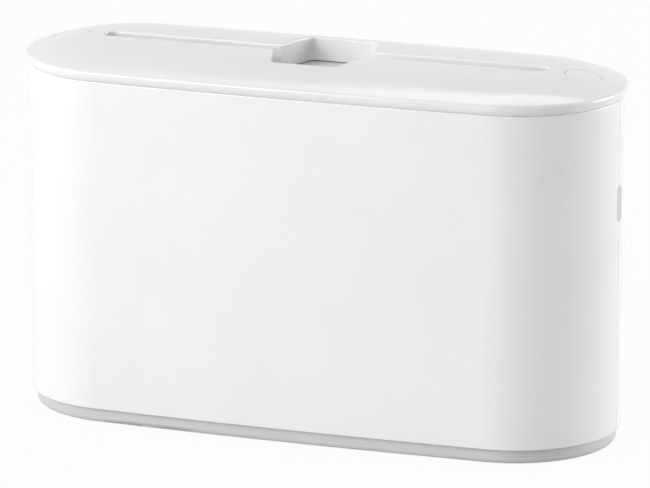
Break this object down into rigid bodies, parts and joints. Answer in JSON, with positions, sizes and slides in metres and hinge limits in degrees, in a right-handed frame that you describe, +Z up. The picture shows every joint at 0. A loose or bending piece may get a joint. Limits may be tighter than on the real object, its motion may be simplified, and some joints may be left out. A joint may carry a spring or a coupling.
{
  "type": "countertop folded towel dispenser",
  "caption": "Oval countertop box for folded paper towels, with a spring-lifted platform, a lift-off lid with a slotted finger opening and push-button latches.",
  "frame": {"origin": "on the counter under the middle of the base", "axes": "+Z up, +X along the length towards the right end, -Y towards the user"},
  "size_m": [0.3234, 0.1188, 0.1964],
  "materials": {
    "cover_plastic": "white moulded ABS, satin gloss",
    "lid_plastic": "white moulded ABS, satin gloss",
    "button_plastic": "white moulded ABS, satin",
    "tray_plastic": "light grey moulded ABS, fine texture",
    "platform_plastic": "light grey moulded ABS, fine texture",
    "chassis_plastic": "off-white moulded ABS, fine texture",
    "window_plastic": "grey polycarbonate",
    "acetal": "natural white acetal",
    "spring_steel": "stainless spring strip and wire",
    "zinc_steel": "zinc-plated steel",
    "foot_rubber": "moulded rubber"
  },
  "bodies": {
    "housing": {"base_tray": "tray_plastic", "base_feet": "foot_rubber", "cover_screws": "zinc_steel", "column_screws": "zinc_steel", "front_cover": "cover_plastic", "back_cover": "cover_plastic", "left_level_window": "window_plastic", "right_level_window": "window_plastic", "left_guide_column": "chassis_plastic", "right_guide_column": "chassis_plastic", "front_guide_panel": "chassis_plastic", "back_guide_panel": "chassis_plastic", "left_spring_strip": "spring_steel", "right_spring_strip": "spring_steel", "strip_screws": "zinc_steel"},
    "platform": {"platform": "platform_plastic", "left_carriage": "acetal", "right_carriage": "acetal", "carriage_screws": "zinc_steel", "left_drum_axle": "zinc_steel", "right_drum_axle": "zinc_steel"},
    "left_drum": {"left_spring_drum": "acetal", "left_spring_coil": "spring_steel"},
    "right_drum": {"right_spring_drum": "acetal", "right_spring_coil": "spring_steel"},
    "lid": {"lid": "lid_plastic", "left_latch_plate": "chassis_plastic", "right_latch_plate": "chassis_plastic", "latch_plate_screws": "zinc_steel", "left_latch_finger": "acetal", "right_latch_finger": "acetal", "left_button_spring": "spring_steel", "right_button_spring": "spring_steel"},
    "left_button": {"left_button": "button_plastic"},
    "right_button": {"right_button": "button_plastic"}
  },
  "joints": [
    {"name": "platform_lower", "type": "slide", "parent": "housing", "child": "platform", "axis": [0, 0, -1], "range_m": [0, 0.13], "stiffness_N_per_m": 20, "springref_m": -0.2, "deforming": ["left_spring_strip", "right_spring_strip"]},
    {"name": "left_drum_spin", "type": "hinge", "parent": "platform", "child": "left_drum", "pos_m": [-0.1387, 0, 0.1573], "axis": [0, 1, 0], "range_deg": [0, 860]},
    {"name": "right_drum_spin", "type": "hinge", "parent": "platform", "child": "right_drum", "pos_m": [0.1387, 0, 0.1573], "axis": [0, -1, 0], "range_deg": [0, 860]},
    {"name": "lid_lift", "type": "slide", "parent": "housing", "child": "lid", "axis": [0, 0, 1], "range_m": [0, 0.06], "deforming": ["left_latch_finger", "right_latch_finger"]},
    {"name": "left_button_press", "type": "slide", "parent": "lid", "child": "left_button", "axis": [0, 0, -1], "range_m": [0, 0.003], "stiffness_N_per_m": 300, "springref_m": -0.004, "deforming": ["left_button_spring"]},
    {"name": "right_button_press", "type": "slide", "parent": "lid", "child": "right_button", "axis": [0, 0, -1], "range_m": [0, 0.003], "stiffness_N_per_m": 300, "springref_m": -0.004, "deforming": ["right_button_spring"]}
  ],
  "couplings": [
    {"joint": "left_drum_spin", "follows": "platform_lower", "rad_per_m": 114.94},
    {"joint": "right_drum_spin", "follows": "platform_lower", "rad_per_m": 114.94}
  ]
}
